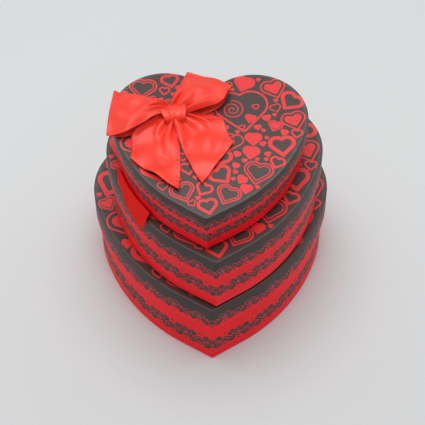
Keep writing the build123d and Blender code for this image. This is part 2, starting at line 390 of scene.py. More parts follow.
@dataclass(frozen=True)
class PrintRound:
    """One round of packing the lid with hearts of about one width.

    Attributes:
        width: Mean width of the hearts.
        tries: How many places are tried.
        styles: How the hearts are drawn, in turn.
    """

    width: float
    tries: int
    styles: tuple[HeartStyle, ...]


@dataclass(frozen=True)
class Scroll:
    """A spiral drawn in a fine heart.

    Attributes:
        across: Place of its middle across from the large heart's.
        up: Place of its middle up from the large heart's.
        radius: How far it winds out.
        pitch: Distance between its arms.
        hand: 1 winds to the left and -1 to the right.
    """

    across: float
    up: float
    radius: float
    pitch: float
    hand: float


FIRST_HEARTS = (
    PrintedHeart(27.0, 4.0, 46.0, 0.12, HeartStyle.FINE),
    PrintedHeart(34.0, -2.5, 10.0, -0.25, HeartStyle.SOLID),
    PrintedHeart(27.5, -11.5, 6.0, 0.30, HeartStyle.FINE),
    PrintedHeart(38.5, 10.0, 6.5, 0.15, HeartStyle.FINE),
    PrintedHeart(19.0, -27.0, 19.0, -0.20, HeartStyle.FINE),
)
PACKING = (
    PrintRound(24.0, 60, (HeartStyle.BOLD, HeartStyle.CORED, HeartStyle.DOUBLE)),
    PrintRound(19.0, 900, (HeartStyle.BOLD, HeartStyle.SOLID, HeartStyle.CORED, HeartStyle.DOUBLE,
                           HeartStyle.BOLD)),
    PrintRound(14.5, 2200, (HeartStyle.SOLID, HeartStyle.BOLD, HeartStyle.SOLID, HeartStyle.CORED,
                            HeartStyle.BOLD)),
    PrintRound(10.0, 3200, (HeartStyle.SOLID, HeartStyle.BOLD, HeartStyle.FINE, HeartStyle.SOLID)),
    PrintRound(6.8, 4200, (HeartStyle.SOLID, HeartStyle.FINE, HeartStyle.SOLID)),
    PrintRound(4.6, 4200, (HeartStyle.SOLID,)),
)
SCROLLS = (Scroll(-8.0, 3.0, 9.6, 3.8, 1.0), Scroll(-8.2, -29.6, 4.6, 2.9, -1.0))


@dataclass(frozen=True)
class LidPrint:
    """A close scatter of hearts over a lid, drawn once for the small lid and scaled to the others.

    Attributes:
        width: Width of the lid that it is drawn for.
        margin: Bare paper along the lid's edge.
        seed: Start of the random draws.
        least: Smallest heart of a round over its mean.
        most: Largest heart of a round over its mean.
        tilt_spread: Usual turn of a heart in radians.
        first_gap: Bare paper round the large fine heart.
        gap: Bare paper round the other hearts.
        rim_width: Hearts wider than this are also tried along the lid's edge.
        rim_share: Depth of such a heart's middle over its width.
        clear_share: Least depth of any heart's middle over its width.
        scroll_line: Half the scrolls' line.
    """

    width: float = 165.0
    margin: float = 1.4
    seed: int = 14
    least: float = 0.86
    most: float = 1.14
    tilt_spread: float = 0.30
    first_gap: float = 0.9
    gap: float = 0.75
    rim_width: float = 9.0
    rim_share: float = 0.47
    clear_share: float = 0.42
    scroll_line: float = 0.5

    @staticmethod
    def ring(count: int) -> tuple[Grid, Grid]:
        """Points round a heart of width 1, a cubed sine across and three cosines up.

        Args:
            count: How many points.

        Returns:
            Places across and up.
        """
        turn = np.linspace(0.0, 2 * math.pi, count, endpoint=False)
        up = (13 * np.cos(turn) - 5 * np.cos(2 * turn) - 2 * np.cos(3 * turn)) / 34 + 0.06
        return 0.5 * np.sin(turn) ** 3, up

    def hearts(self) -> list[PrintedHeart]:
        """Packs hearts from large to small where they stay clear of the edge and of each other.

        Returns:
            The hearts of the print.
        """
        edge_step, ring_points = 2.0, 18
        outline, normals, _ = HeartOutline(self.width).loop(edge_step)
        picks = np.random.default_rng(self.seed)
        drawn = list(FIRST_HEARTS)
        ring_x, ring_y = self.ring(ring_points)
        low, high = self.width * np.array([(-0.5, -0.65), (0.5, 0.28)])
        for packing in PACKING:
            tries, styles = packing.tries, packing.styles
            spots = picks.uniform(low, high, (tries, 2))
            sizes = packing.width * picks.uniform(self.least, self.most, tries)
            tilts = picks.normal(0.0, self.tilt_spread, tries)
            along_rim = picks.integers(0, len(outline), tries)
            if packing.width > self.rim_width:
                depth = (self.rim_share * sizes + self.margin)[:, None]
                spots[::2] = (outline[along_rim] - depth * normals[along_rim])[::2]
            for (x, y), size, tilt in zip(spots, sizes, tilts):
                edge_x = x + size * (math.cos(tilt) * ring_x - math.sin(tilt) * ring_y)
                edge_y = y + size * (math.sin(tilt) * ring_x + math.cos(tilt) * ring_y)
                room = outline - (x, y)
                near = np.argmin(np.hypot(*room.T))
                if room[near] @ normals[near] < self.clear_share * size + self.margin:
                    continue
                others = np.array([(one.x, one.y, one.width, one.tilt) for one in drawn])[:, :, None]
                other_x, other_y, other_width, other_tilt = (others[:, i] for i in range(4))
                clear = heart_distance(edge_x - other_x, edge_y - other_y, other_width, other_tilt)
                if clear[0].min() > self.first_gap and clear[1:].min() > self.gap:
                    drawn.append(PrintedHeart(x, y, size, tilt, styles[len(drawn) % len(styles)]))
        return drawn

    def flourish(self, x: Grid, y: Grid, large: PrintedHeart) -> Grid:
        """Scrolls drawn inside two of the fine hearts, each a spiral of a few turns.

        A spiral's arms are a pitch apart, so the nearest arm lies where the distance from its middle
        less the turned angle's share of the pitch is a whole number of pitches.

        Args:
            x: Places across the lid.
            y: Places along the lid.
            large: The large fine heart.

        Returns:
            Signed distance to the scrolls' ink.
        """
        best = np.full_like(x, FAR_MM)
        for scroll in SCROLLS:
            pitch = scroll.pitch
            dx, dy = (x - large.x - scroll.across) * scroll.hand, y - large.y - scroll.up
            reach = np.hypot(dx, dy)
            turned = np.mod(np.arctan2(dy, dx) + math.pi / 2, 2 * math.pi) / (2 * math.pi) * pitch
            arm = np.clip(np.round((reach - turned) / pitch), 0, None) * pitch + turned
            line = np.where(arm < scroll.radius, np.abs(reach - arm), FAR_MM) - self.scroll_line
            best = np.minimum(best, line)
        return best

    def ink(self, x: Grid, y: Grid, scale: float, hearts: list[PrintedHeart]) -> Grid:
        """Signed distance to the print's ink on a lid.

        Args:
            x: Places across the lid.
            y: Places along the lid.
            scale: Size of this lid over the small one.
            hearts: The hearts of the print.

        Returns:
            Distances in millimetres, negative where there is ink.
        """
        across, along = x / scale, y / scale
        ink = self.flourish(across, along, hearts[0])
        for heart in hearts:
            ink = np.minimum(ink, heart.ink(across, along))
        return np.clip(ink * scale, -MOST_INK_MM, MOST_INK_MM)


@dataclass(frozen=True)
class LaceBand:
    """A printed lace ribbon: hearts, curls and picots in dark ink, with fine light lines on them.

    Apart from the first two, the sizes are shares of the band's height.

    Attributes:
        height: Height of the band.
        repeat: Length of a repeat, before it is fitted to the band's length.
        large_heart: Width of the upright hearts.
        small_heart: Width of the hearts on their heads.
        heart_shift: How far both kinds are shifted towards their lobes.
        ring_place: Height of the rings from the middle.
        ring: Radius of the rings.
        ring_line: Half the rings' line.
        bud: Radius of the dots in the rings.
        stem_sway: How far the stems swing from the middle.
        stem_line: Half the stems' line.
        picot_place: Height of the dots along the edges from the middle.
        picot: Radius of those dots.
        light_line: Half the light lines.
        large_inset: Depth of the light line in a large heart.
        small_inset: Depth of the light line in a small heart.
        light_heart: Width of the light heart in a large one.
    """

    height: float
    repeat: float
    large_heart: float = 0.78
    small_heart: float = 0.60
    heart_shift: float = 0.03
    ring_place: float = 0.26
    ring: float = 0.14
    ring_line: float = 0.050
    bud: float = 0.055
    stem_sway: float = 0.34
    stem_line: float = 0.040
    picot_place: float = 0.44
    picot: float = 0.062
    light_line: float = 0.024
    large_inset: float = 0.105
    small_inset: float = 0.095
    light_heart: float = 0.22

    def draw(self, along: Grid, across: Grid, length: float) -> tuple[Grid, Grid]:
        """Signed distances to the dark ink and to the light lines of the band.

        Args:
            along: Places along the band.
            across: Places up the band, from its middle.
            length: Length of the band, which takes a whole number of repeats.

        Returns:
            The dark ink's and the light lines' distances, negative inside.
        """
        period = length / max(1, round(length / self.repeat))
        tall = self.height

        def wrapped(places: Grid, pitch: float) -> Grid:
            """Places from the nearest of the motifs a pitch apart."""
            return np.mod(places + pitch / 2, pitch) - pitch / 2

        upright, turned = wrapped(along, period), wrapped(along + period / 2, period)
        shift = self.heart_shift * tall
        large = heart_distance(upright, across - shift, self.large_heart * tall)
        small = heart_distance(turned, -across - shift, self.small_heart * tall)
        curl_x, curl_y = np.abs(upright) - period / 4, self.ring_place * tall
        curl = np.minimum(np.hypot(curl_x, across - curl_y), np.hypot(curl_x, across + curl_y))
        rings = np.abs(curl - self.ring * tall) - self.ring_line * tall
        buds = curl - self.bud * tall
        swing, sway = 2 * math.pi * along / period, self.stem_sway * tall
        stems = np.minimum(np.abs(across - sway * np.sin(swing + 0.7)),
                           np.abs(across + sway * np.sin(swing - 0.4))) - self.stem_line * tall
        edge = np.abs(across) - self.picot_place * tall
        picots = np.hypot(wrapped(along, period / 4), edge) - self.picot * tall
        dark = np.minimum.reduce([large, small, rings, buds, stems, picots])
        thin = self.light_line * tall
        lines = np.minimum.reduce([
            np.abs(large + self.large_inset * tall) - thin,
            np.abs(small + self.small_inset * tall) - thin,
            heart_distance(upright, across, self.light_heart * tall)])
        return np.clip(dark, -MOST_INK_MM, MOST_INK_MM), np.clip(lines, -MOST_INK_MM, MOST_INK_MM)


class BoxSize(Enum):
    """The three boxes of the set, by the word that starts their nodes' names."""

    LARGE = "large"
    MEDIUM = "medium"
    SMALL = "small"


@dataclass(frozen=True)
class PaperLayers:
    """Depths of the papers in from the outside of a lid, and their edges, in millimetres.

    Attributes:
        paper: Thickness of a paper.
        turn_down: Depth of the lid sheet's border under the skirt's paper.
        skirt_lining: Depth of the skirt's paper inside the lid.
        tray: Depth of the tray's outside.
        rim_lining: Depth of the tray's paper inside the tray.
        under_turn_in: How far the tray's paper is turned in under the floor.
        rim_turn_in: How far it goes down inside.
        skirt_turn_in: How far the skirt's paper goes up inside.
        top_turn_down: How far the lid sheet is turned down.
        fold: Radius of a paper's fold.
    """

    paper: float = 0.25
    turn_down: float = 0.30
    skirt_lining: float = 2.70
    tray: float = 3.20
    rim_lining: float = 5.60
    under_turn_in: float = 10.0
    rim_turn_in: float = 14.0
    skirt_turn_in: float = 10.0
    top_turn_down: float = 8.0
    fold: float = 0.7


@dataclass(frozen=True)
class LoopPlan:
    """Plan of one loop, looking out from the knot along the line square to its fold.

    Attributes:
        angle: Direction of that line in degrees.
        length: From the knot's middle to the fold.
        left: Where the fold's left end lies, to the left of the line.
        right: Where its right end lies, to the left of the line.
        arch: How far the ribbon's edges droop from its crown.
        lift: How far the fold is lifted.
        late: The edge that swings out does so late, in a curve.
    """

    angle: float
    length: float
    left: float
    right: float
    arch: float
    lift: float
    late: bool = False


@dataclass(frozen=True)
class TailPlan:
    """Plan of one tail, looking out from the knot; its cut slants from the inner edge to the outer.

    Attributes:
        angle: Direction of the tail in degrees.
        inner_length: Length of the inner edge from the knot's middle.
        inner_half: How far the inner edge is from the tail's line at the cut.
        outer_length: Length of the outer edge from the knot's middle.
        outer_half: How far the outer edge is from the tail's line at the cut.
        bulge: How far the outer edge swings out before that.
        outer_left: The outer edge is the left one.
        cut_bow: How far the cut bows out in its middle.
        inner_bow: How far the inner edge bows out in its middle.
    """

    angle: float
    inner_length: float
    inner_half: float
    outer_length: float
    outer_half: float
    bulge: float
    outer_left: bool
    cut_bow: float = 0.0
    inner_bow: float = 0.0


@dataclass(frozen=True)
class BowShape:
    """Where one bow lies on its lid, how high it stands and how it is gathered.

    Attributes:
        knot_x: Place of the knot's middle across the lid.
        knot_y: Place of the knot's middle along the lid.
        knot_turn: Turn of the knot's band in degrees.
        rise: Height of the loops.
        knot_rise: Height of the knot.
        left_loop: Plan of the left loop.
        right_loop: Plan of the right loop.
        left_tail: Plan of the left tail.
        right_tail: Plan of the right tail.
        waves: Gathers across the ribbon.
        most_gather: Most height of a gather.
        ripple: Height of the loose ribbon's waves.
        puff: How far the ribbon swells beside the box that presses it.
    """

    knot_x: float
    knot_y: float
    knot_turn: float
    rise: float
    knot_rise: float
    left_loop: LoopPlan
    right_loop: LoopPlan
    left_tail: TailPlan
    right_tail: TailPlan
    waves: float
    most_gather: float
    ripple: float
    puff: float = 0.0


def squarish(value: Grid, power: float) -> Grid:
    """Signed power of a sine or cosine, which under 1 makes a round fuller at its corners."""
    return np.sign(value) * np.abs(value) ** power


@dataclass
class Bow:
    """A tied satin bow: two loops, two tails with slanting cuts and the band of the knot.

    Attributes:
        shape: Place and plans of the bow.
        width: Width of the ribbon.
        thickness: Thickness of the ribbon.
        pinch: Half the width to which the knot gathers a loop.
        tail_pinch: How far a tail's inner edge is from its line at the knot.
        loop_low: Height of a loop's underside, over the tails.
        tail_low: Least height of a tail.
        band: Width of the knot's band, folded from the ribbon. Not used.
        knot_half: Half the knot's width across the bow.
        knot_deep: Half the knot's depth along the lid.
        knot_low: Height of the knot's underside.
        columns: Points across the ribbon.
    """

    shape: BowShape
    width: float = 47.0
    thickness: float = 0.28
    pinch: float = 5.0
    tail_pinch: float = 2.2
    loop_low: float = 0.85
    tail_low: float = 0.25
    band: float = 18.0
    knot_half: float = 10.4
    knot_deep: float = 8.6
    knot_low: float = 0.45
    columns: int = 97

    def gathers(self, along: Grid, chord: Grid, across: Grid, phase: float) -> Grid:
        """Height of the gathers, deep enough near the knot that the drawn-in ribbon keeps its cut width.

        A triangle wave of length l and height h is sqrt(1 + (4 h / l) squared) times as long as its
        base, so the height follows from how far the ribbon is drawn in. The gathers run out smooth.

        Args:
            along: Distances from the knot's middle.
            chord: Distance between the ribbon's edges.
            across: Places across the ribbon from -1 to 1.
            phase: Shift of the gathers in turns.

        Returns:
            Heights from 0 up.
        """
        waves = self.shape.waves
        drawn = np.maximum(self.width / chord, 1.0)
        height = np.minimum(chord / waves / 4 * np.sqrt(drawn ** 2 - 1), self.shape.most_gather)
        run_out = 27.0 + 9.0 * np.sin(5.0 * across + 9.0 * phase)
        height = height * (1 - ease(9.0, run_out, along))
        uneven = across + 0.16 * np.sin(3.1 * across + 6.0 * phase)
        folds = np.sin(2 * math.pi * (waves * (uneven + 1) / 2 + phase))
        return height * (1 + folds + 0.25 * np.sin(2.0 * math.pi * (0.9 * waves * uneven + 2.3 * phase)))

    def ripples(self, along: Grid, across: Grid, phase: float) -> Grid:
        """Soft hollows and swells of the loose satin, three crossing waves a thumb's width apart.

        Args:
            along: Distances from the knot's middle.
            across: Places across the ribbon from -1 to 1.
            phase: Shift of the waves in turns.

        Returns:
            Heights up and down.
        """
        turns = 2 * math.pi * phase
        return self.shape.ripple * (0.50 * np.sin(along / 6.5 + 2.2 * across + turns)
                                    + 0.35 * np.sin(along / 4.1 - 3.9 * across + 2.3 * turns)
                                    + 0.30 * np.sin(along / 11.0 + 5.6 * across + 3.1 * turns))

    def loop(self, plan: LoopPlan, phase: float) -> tuple[Grid, Grid]:
        """A ribbon that runs out over the lid, folds back and returns to the knot.

        The first parameter follows the side view: out along the lid, round the fold and back over
        the crown. The second goes across the ribbon. One edge runs straight from the knot to the
        fold, and the other swings out to its full spread early, or late in a curve.

        Args:
            plan: Plan of the loop.
            phase: Shift of the gathers in turns.

        Returns:
            Points on the lid, and lengths along and across the ribbon.
        """
        shape, low = self.shape, self.loop_low
        room = shape.rise - low
        most_fold, most_neck = 3.2, 4.2
        fold = min(most_fold, room / 2.3)
        out = np.linspace(0.0, 1.0, 40)
        turn = np.linspace(-math.pi / 2, math.pi / 2, 17)[1:-1]
        still = np.zeros_like(out)
        share = np.concatenate([out, np.ones_like(turn), out[::-1]])[:, None]
        bulge = np.concatenate([still, fold * np.cos(turn), still])[:, None]
        upper = np.concatenate([still, (np.sin(turn) + 1) / 2, still + 1])[:, None]
        neck = min(most_neck, 0.6 * shape.rise)
        base = neck + (low + 2 * fold - neck) * out
        crown = base + (shape.rise - base) * np.sin(math.pi * out ** 0.9) ** 0.9
        under = 0.08 * room * (1 - out) ** 2
        height = np.concatenate([low + under, low + fold + fold * np.sin(turn), crown[::-1]])
        across = np.linspace(-1.0, 1.0, self.columns)[None, :]
        along = share * (plan.length - fold - 0.8 * across ** 2) + bulge
        early = 1 - (1 - np.clip(along / 31.0, 0.0, 1.0)) ** 2
        swing = ease(7.0, 0.78 * plan.length, along) if plan.late else early
        straight = np.clip(along / plan.length, 0.0, 1.0)
        left_swing, right_swing = (swing, straight) if plan.left > -plan.right else (straight, swing)
        left = self.pinch + (plan.left - self.pinch) * left_swing
        right = -self.pinch + (plan.right + self.pinch) * right_swing
        trim = 1 - 0.05 * (1 - upper)
        lateral = (left + right) / 2 + across * (left - right) / 2 * trim
        gather = self.gathers(along, left - right, across, phase)
        loose = ease(6.0, 26.0, along)
        droop = -plan.arch * np.abs(across) ** 2.4 * ease(4.0, 24.0, along) * (1 - 0.55 * bulge / fold)
        swell = gather + loose * self.ripples(along, across, phase) + droop
        lift = plan.lift * ease(8.0, plan.length, along)
        z = height[:, None] + upper * swell + 0.15 * (1 - upper) * gather + lift
        floor = low + 0.1 + upper * np.minimum(2 * fold, 2.2)
        return self.lay(along, lateral, np.maximum(z, floor), plan.angle), self.lengths(along, across)

    def tail(self, plan: TailPlan, phase: float) -> tuple[Grid, Grid]:
        """A ribbon end that fans out of the knot, lies on the lid and ends in a slanting cut.

        The first parameter runs along the ribbon, the second across it from the inner edge to the
        outer. The inner edge runs straight, the outer one swings out to its fullest spread and back.

        Args:
            plan: Plan of the tail.
            phase: Shift of the gathers in turns.

        Returns:
            Points on the lid, and lengths along and across the ribbon.
        """
        shape = self.shape
        share = np.linspace(0.0, 1.0, 72)[:, None]
        across = np.linspace(-1.0, 1.0, self.columns)[None, :]
        mean_length = (plan.outer_length + plan.inner_length) / 2
        slant = mean_length + (plan.outer_length - plan.inner_length) / 2 * across
        along = share * (slant + plan.cut_bow * (1 - across ** 2))
        swing = np.sin(math.pi / 2 * np.clip(along / 29.0, 0.0, 1.0)) ** 1.25
        settle = ease(24.0, plan.outer_length, along)
        outer = self.pinch + (plan.bulge - self.pinch) * swing + (plan.outer_half - plan.bulge) * settle
        gone = np.clip(along / plan.inner_length, 0.0, 1.0)
        bowed = 4 * plan.inner_bow * gone * (1 - gone)
        inner = self.tail_pinch + (plan.inner_half - self.tail_pinch) * gone + bowed
        lateral = (outer - inner) / 2 + across * (outer + inner) / 2
        gather = 0.8 * self.gathers(0.75 * along, outer + inner, across, phase)
        lie = 0.38 * shape.knot_rise * np.exp(-(along / 12.0) ** 2)
        soft = self.ripples(along, across, phase + 0.4) + 0.8 * shape.ripple
        curl = shape.ripple * ease(0.8, 1.0, share) * (0.7 + 0.5 * np.sin(4.0 * across + 9.0 * phase))
        z = self.tail_low + lie + gather + ease(5.0, 30.0, along) * soft + curl
        side = 1.0 if plan.outer_left else -1.0
        points = self.lay(along, side * lateral, np.maximum(z, self.tail_low), plan.angle)
        return points, self.lengths(along, side * across)

    def knot(self) -> tuple[Grid, Grid]:
        """The band round the gathers: a rounded tube with creases along it and flared edges.

        The first parameter goes round the gathers, the second across the band.

        Returns:
            Points on the lid, and lengths round and across the band.
        """
        shape = self.shape
        around = np.linspace(0.0, 2 * math.pi, 97)[:-1, None]
        across = np.linspace(-1.0, 1.0, 61)[None, :]
        tall = shape.knot_rise / 2 - self.knot_low
        front = np.clip(-np.cos(around), 0.0, 1.0)
        crease = 0.040 * np.sin(2.6 * math.pi * across + 1.3 * np.cos(around) + 0.8)
        crease += 0.012 * np.sin(6.2 * math.pi * across - 1.1 * np.sin(around))
        swell = 1.0 + 0.09 * across ** 4 - 0.10 * np.exp(-(across / 0.35) ** 2) + crease
        width = self.knot_half * (1.0 + 0.06 * np.sin(around) - 0.22 * front)
        y = self.knot_deep * swell * squarish(np.cos(around), 0.75)
        z = self.knot_low + tall + tall * np.minimum(swell, 1.06) * squarish(np.sin(around), 0.7)
        z = np.clip(z, 0.3, shape.knot_rise - 0.02)
        round_mean = 8.0
        lengths = np.stack(np.broadcast_arrays(around * round_mean, across * self.knot_half), axis=-1)
        return self.lay(width * across, y, z, shape.knot_turn), lengths

    def lay(self, along: Grid, across: Grid, height: Grid, angle: float) -> Grid:
        """Turns a piece about the knot and moves it to its place on the lid.

        Args:
            along: Places along the piece.
            across: Places across the piece, to the left.
            height: Heights over the lid.
            angle: Direction of the piece in degrees.

        Returns:
            Points on the lid.
        """
        turn = math.radians(angle)
        x = self.shape.knot_x + math.cos(turn) * along - math.sin(turn) * across
        y = self.shape.knot_y + math.sin(turn) * along + math.cos(turn) * across
        return np.stack(np.broadcast_arrays(x, y, height), axis=-1)

    def lengths(self, along: Grid, across: Grid) -> Grid:
        """Lengths along and across the flat ribbon for its weave."""
        return np.stack(np.broadcast_arrays(along, across * self.width / 2), axis=-1)


def add_node(tree: bpy.types.NodeTree, kind: str, settings: dict[str, object] | None = None,
             inputs: dict[str | int, object] | None = None) -> bpy.types.Node:
    """Adds a node with its settings and links.

    Args:
        tree: Node tree of the material.
        kind: Node type.
        settings: Values of the node's own properties.
        inputs: A value or another node's output for each named or numbered input.

    Returns:
        The node.
    """
    node = tree.nodes.new(kind)
    for name, value in (settings or {}).items():
        setattr(node, name, value)
    for name, value in (inputs or {}).items():
        if isinstance(value, bpy.types.NodeSocket):
            tree.links.new(value, node.inputs[name])
        else:
            node.inputs[name].default_value = value
    return node


@dataclass(frozen=True)
class Finish:
    """A finish: the named material and the surface it starts from.

    Attributes:
        name: Name of the material.
    """

    name: str

    def start(self) -> tuple[bpy.types.Material, bpy.types.NodeTree, bpy.types.Node]:
        """Makes the material with a lone shader.

        Returns:
            The material, its node tree and the shader.
        """
        material = bpy.data.materials.new(self.name)
        material.use_nodes = True
        tree = material.node_tree
        return material, tree, tree.nodes["Principled BSDF"]

    @staticmethod
    def grain(tree: bpy.types.NodeTree, size_mm: float, detail: float = 4.0) -> bpy.types.Node:
        """Noise whose blotches have a real size, on the object's own coordinates.

        Args:
            tree: Node tree of the material.
            size_mm: Size of a blotch.
            detail: Finer layers in the noise.

        Returns:
            The noise node.
        """
        places = add_node(tree, "ShaderNodeTexCoord")
        return add_node(tree, "ShaderNodeTexNoise", None, {
            "Vector": places.outputs["Object"], "Scale": 1.0 / (size_mm * MM), "Detail": detail,
            "Roughness": 0.6})

    @staticmethod
    def bump(tree: bpy.types.NodeTree, shader: bpy.types.Node, height: bpy.types.NodeSocket,
             strength: float, depth_mm: float) -> None:
        """Raises a height into the shader's normal.

        Args:
            tree: Node tree of the material.
            shader: The shader.
            height: The height's output.
            strength: Share of the slope that is used.
            depth_mm: Rise of a height of 1.
        """
        node = add_node(tree, "ShaderNodeBump", None, {
            "Height": height, "Strength": strength, "Distance": depth_mm * MM})
        tree.links.new(node.outputs["Normal"], shader.inputs["Normal"])

    @staticmethod
    def mix(tree: bpy.types.NodeTree, share: bpy.types.NodeSocket,
            first: tuple[float, ...] | bpy.types.NodeSocket,
            second: tuple[float, ...] | bpy.types.NodeSocket) -> bpy.types.NodeSocket:
        """Mixes two colours by a share.

        Args:
            tree: Node tree of the material.
            share: How much of the second colour.
            first: Colour or output.
            second: Colour or output.

        Returns:
            The mixed colour's output.
        """
        node = add_node(tree, "ShaderNodeMix", {"data_type": "RGBA"}, {0: share, 6: first, 7: second})
        return node.outputs[2]

    @staticmethod
    def below(tree: bpy.types.NodeTree, value: bpy.types.NodeSocket, edge: float,
              soft: float) -> bpy.types.NodeSocket:
        """A share of 1 where a value is under an edge and 0 above it, with a soft step.

        Args:
            tree: Node tree of the material.
            value: The value to test.
            edge: Where the step is.
            soft: Half the width of the step.

        Returns:
            The share's output.
        """
        node = add_node(tree, "ShaderNodeMapRange", {"interpolation_type": "SMOOTHSTEP"}, {
            "Value": value, "From Min": edge - soft, "From Max": edge + soft, "To Min": 1.0, "To Max": 0.0})
        return node.outputs["Result"]

    @staticmethod
    def ranged(tree: bpy.types.NodeTree, value: bpy.types.NodeSocket, spread: float, low: float,
               high: float) -> bpy.types.NodeSocket:
        """Maps a noise, which lies about one half, to a range and holds it there.

        Args:
            tree: Node tree of the material.
            value: The noise.
            spread: How far from one half the noise is used.
            low: Result at the lower end.
            high: Result at the upper end.

        Returns:
            The result's output.
        """
        node = add_node(tree, "ShaderNodeMapRange", None, {
            "Value": value, "From Min": 0.5 - spread, "From Max": 0.5 + spread,
            "To Min": low, "To Max": high})
        return node.outputs["Result"]


@dataclass(frozen=True)
class PrintedPaper(Finish):
    """Coated art paper, offset printed in two inks and glued over board.

    The coating gives it a soft even gloss, the ink lies in crisp edges, and the folds are paler,
    partly rubbed by handling and partly a painted highlight along the rolled edges.

    Attributes:
        ground: Colour of the first ink, which covers the sheet.
        ink: Colour of the second ink.
        line: Colour of fine lines on the second ink.
        ink_attribute: Attribute with the distance to the second ink.
        gloss: Strength of the coating's shine.
        rubbed_and_highlight: Colour of the paler folds, partly rubbed and partly a painted highlight.
        rub_and_highlight_share: Most share of that colour.
        soft_mm: Half the width of the ink's edge.
        fibre_mm: Size of the fibres under the coating.
        cloud_mm: Size of the clouds in the ink.
        rub_and_highlight_mm: Size of the blotches in the paler folds.
    """

    ground: str
    ink: str
    line: str | None = None
    ink_attribute: str = "ink"
    gloss: float = 0.15
    rubbed_and_highlight: str = "#b9aca3"
    rub_and_highlight_share: float = 0.18
    soft_mm: float = 0.16
    fibre_mm: float = 0.9
    cloud_mm: float = 38.0
    rub_and_highlight_mm: float = 5.0

    def build(self) -> bpy.types.Material:
        """Makes the paper's material.

        Returns:
            The material.
        """
        material, tree, shader = self.start()
        ink = add_node(tree, "ShaderNodeAttribute", {"attribute_name": self.ink_attribute})
        inked = self.below(tree, ink.outputs["Fac"], 0.0, self.soft_mm)
        colour = self.mix(tree, inked, linear(self.ground), linear(self.ink))
        if self.line is not None:
            line = add_node(tree, "ShaderNodeAttribute", {"attribute_name": "line"})
            lined = self.below(tree, line.outputs["Fac"], 0.0, self.soft_mm)
            both = add_node(tree, "ShaderNodeMath", {"operation": "MULTIPLY"}, {0: lined, 1: inked})
            colour = self.mix(tree, both.outputs[0], colour, linear(self.line))
        cloud = self.grain(tree, self.cloud_mm, 3.0)
        tone = self.ranged(tree, cloud.outputs["Fac"], 0.2, 0.93, 1.05)
        toned = add_node(tree, "ShaderNodeVectorMath", {"operation": "SCALE"}, {0: colour, "Scale": tone})
        fibre = self.grain(tree, self.fibre_mm)
        # Paler folds: partly rubbed by handling, partly a painted highlight along the edges.
        wear_and_highlight = add_node(tree, "ShaderNodeAttribute", {"attribute_name": "wear_and_highlight"})
        rubbed_and_highlight = add_node(tree, "ShaderNodeMath", {"operation": "MULTIPLY"}, {
            0: wear_and_highlight.outputs["Fac"], 1: self.grain(tree, self.rub_and_highlight_mm).outputs["Fac"]})
        rub_and_highlight_share = add_node(tree, "ShaderNodeMath", {"operation": "MULTIPLY"}, {0: rubbed_and_highlight.outputs[0], 1: self.rub_and_highlight_share})
        worn_and_highlighted = self.mix(tree, rub_and_highlight_share.outputs[0], toned.outputs[0], linear(self.rubbed_and_highlight))
        tree.links.new(worn_and_highlighted, shader.inputs["Base Color"])
        rough = self.ranged(tree, fibre.outputs["Fac"], 0.2, 0.40, 0.50)
        tree.links.new(rough, shader.inputs["Roughness"])
        shader.inputs["IOR"].default_value = 1.46
        shader.inputs["Specular IOR Level"].default_value = self.gloss
        self.bump(tree, shader, fibre.outputs["Fac"], 0.10, 0.05)
        return material


@dataclass(frozen=True)
class PlainSheet(Finish):
    """Uncoated sheet, pressed from fibre: dull, with flecks and a faint felt mark.

    Attributes:
        colour: Colour of the pulp.
        fleck: Colour of its flecks.
        fleck_mm: Size of the flecks.
        felt_mm: Size of the felt's marks.
        roughness: Roughness of the surface.
    """

    colour: str
    fleck: str
    fleck_mm: float = 1.1
    felt_mm: float = 0.5
    roughness: float = 0.85

    def build(self) -> bpy.types.Material:
        """Makes the sheet's material.

        Returns:
            The material.
        """
        material, tree, shader = self.start()
        fleck = self.grain(tree, self.fleck_mm, 6.0)
        share = add_node(tree, "ShaderNodeMapRange", None, {
            "Value": fleck.outputs["Fac"], "From Min": 0.35, "From Max": 0.75, "To Min": 0.0,
            "To Max": 0.6})
        colour = self.mix(tree, share.outputs["Result"], linear(self.colour), linear(self.fleck))
        tree.links.new(colour, shader.inputs["Base Color"])
        shader.inputs["Roughness"].default_value = self.roughness
        shader.inputs["IOR"].default_value = 1.5
        self.bump(tree, shader, self.grain(tree, self.felt_mm).outputs["Fac"], 0.25, 0.08)
        return material


